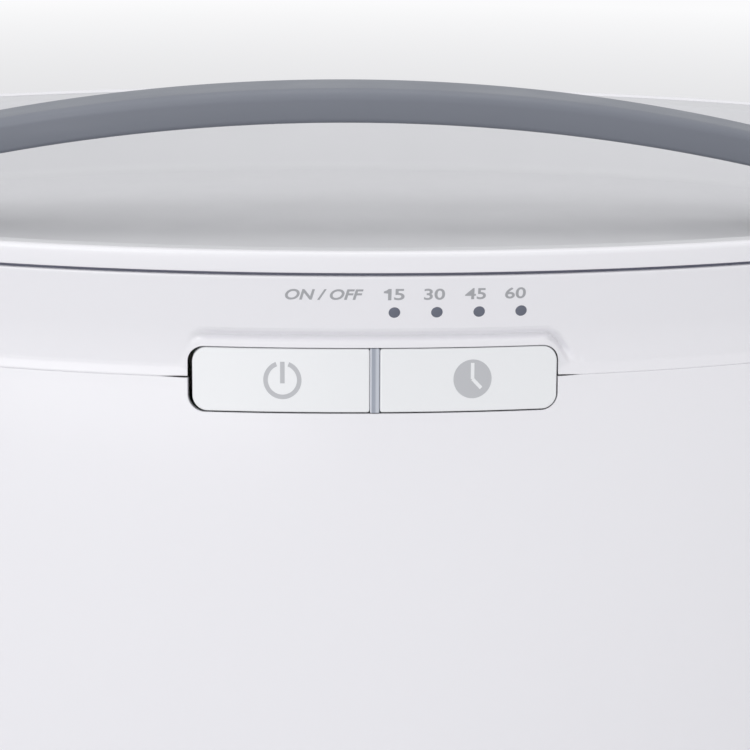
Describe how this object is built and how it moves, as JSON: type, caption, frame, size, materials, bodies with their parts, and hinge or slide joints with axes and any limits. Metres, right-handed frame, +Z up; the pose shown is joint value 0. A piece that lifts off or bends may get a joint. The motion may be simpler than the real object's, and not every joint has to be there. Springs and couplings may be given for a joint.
{
  "type": "paraffin wax bath",
  "caption": "Oval table-top paraffin wax bath with a heated tank, a lift-off dished lid with an arched handle, flush push buttons, light dots and a lift-out grille.",
  "frame": {"origin": "on the table under the middle of the oval, at the level of the feet", "axes": "+X along the long side, the buttons face -Y, +Z up"},
  "size_m": [0.3867, 0.2366, 0.2069],
  "materials": {
    "body_white": "semi-gloss white moulded plastic",
    "button_white": "semi-gloss white moulded plastic",
    "base_grey": "fine matt texture",
    "rubber_grey": "matt",
    "screw_steel": "plated",
    "tank_aluminium": "satin anodised",
    "silicone_grey": "matt silicone",
    "insulation_fibre": "needled fibre",
    "heater_rubber": "matt silicone",
    "thermostat_metal": "stamped",
    "fuse_white": "matt",
    "grille_white": "matt",
    "board_green": "solder mask",
    "switch_black": "matt",
    "led_clear": "clear epoxy",
    "transformer_steel": "varnished",
    "relay_blue": "moulded",
    "gland_grey": "matt",
    "light_bar_grey": "translucent",
    "lens_grey": "translucent",
    "seal_blue_grey": "matt silicone",
    "lid_grey": "satin, slightly translucent",
    "handle_blue_grey": "satin"
  },
  "bodies": {
    "tub": {"lower_body_shell": "body_white", "control_collar": "body_white", "base_plate": "base_grey", "rubber_feet": "rubber_grey", "base_screws": "screw_steel", "collar_screws": "screw_steel", "wax_tank": "tank_aluminium", "tank_gasket": "silicone_grey", "tank_screws": "screw_steel", "insulation_blanket": "insulation_fibre", "heat_spreader": "tank_aluminium", "heater_mat": "heater_rubber", "thermostat": "thermostat_metal", "thermal_fuse": "fuse_white", "temperature_sensor": "thermostat_metal", "control_board": "board_green", "control_board_screws": "screw_steel", "power_switch": "switch_black", "timer_switch": "switch_black", "indicator_leds": "led_clear", "status_led": "led_clear", "control_chip": "switch_black", "power_board": "board_green", "power_board_screws": "screw_steel", "transformer": "transformer_steel", "relay": "relay_blue", "filter_capacitor": "switch_black", "terminal_block": "fuse_white", "cord_gland": "gland_grey", "gland_nut": "gland_grey", "button_light_bar": "light_bar_grey", "indicator_lens": "lens_grey", "rim_seal": "seal_blue_grey"},
    "lid": {"lid_ring": "body_white", "lid_panel": "lid_grey", "lid_handle": "handle_blue_grey", "handle_screws": "screw_steel"},
    "power_button": {"power_button": "button_white"},
    "timer_button": {"timer_button": "button_white"},
    "grille": {"wax_grille": "grille_white"}
  },
  "joints": [
    {"name": "lid_lift", "type": "slide", "parent": "tub", "child": "lid", "axis": [0, 0, 1], "range_m": [0, 0.16]},
    {"name": "power_button_press", "type": "slide", "parent": "tub", "child": "power_button", "axis": [0, 1, 0], "range_m": [0, 0.0005], "stiffness_N_per_m": 1500, "springref_m": -0.0008},
    {"name": "timer_button_press", "type": "slide", "parent": "tub", "child": "timer_button", "axis": [0, 1, 0], "range_m": [0, 0.0005], "stiffness_N_per_m": 1500, "springref_m": -0.0008},
    {"name": "grille_lift", "type": "slide", "parent": "tub", "child": "grille", "axis": [0, 0, 1], "range_m": [0, 0.06]}
  ]
}
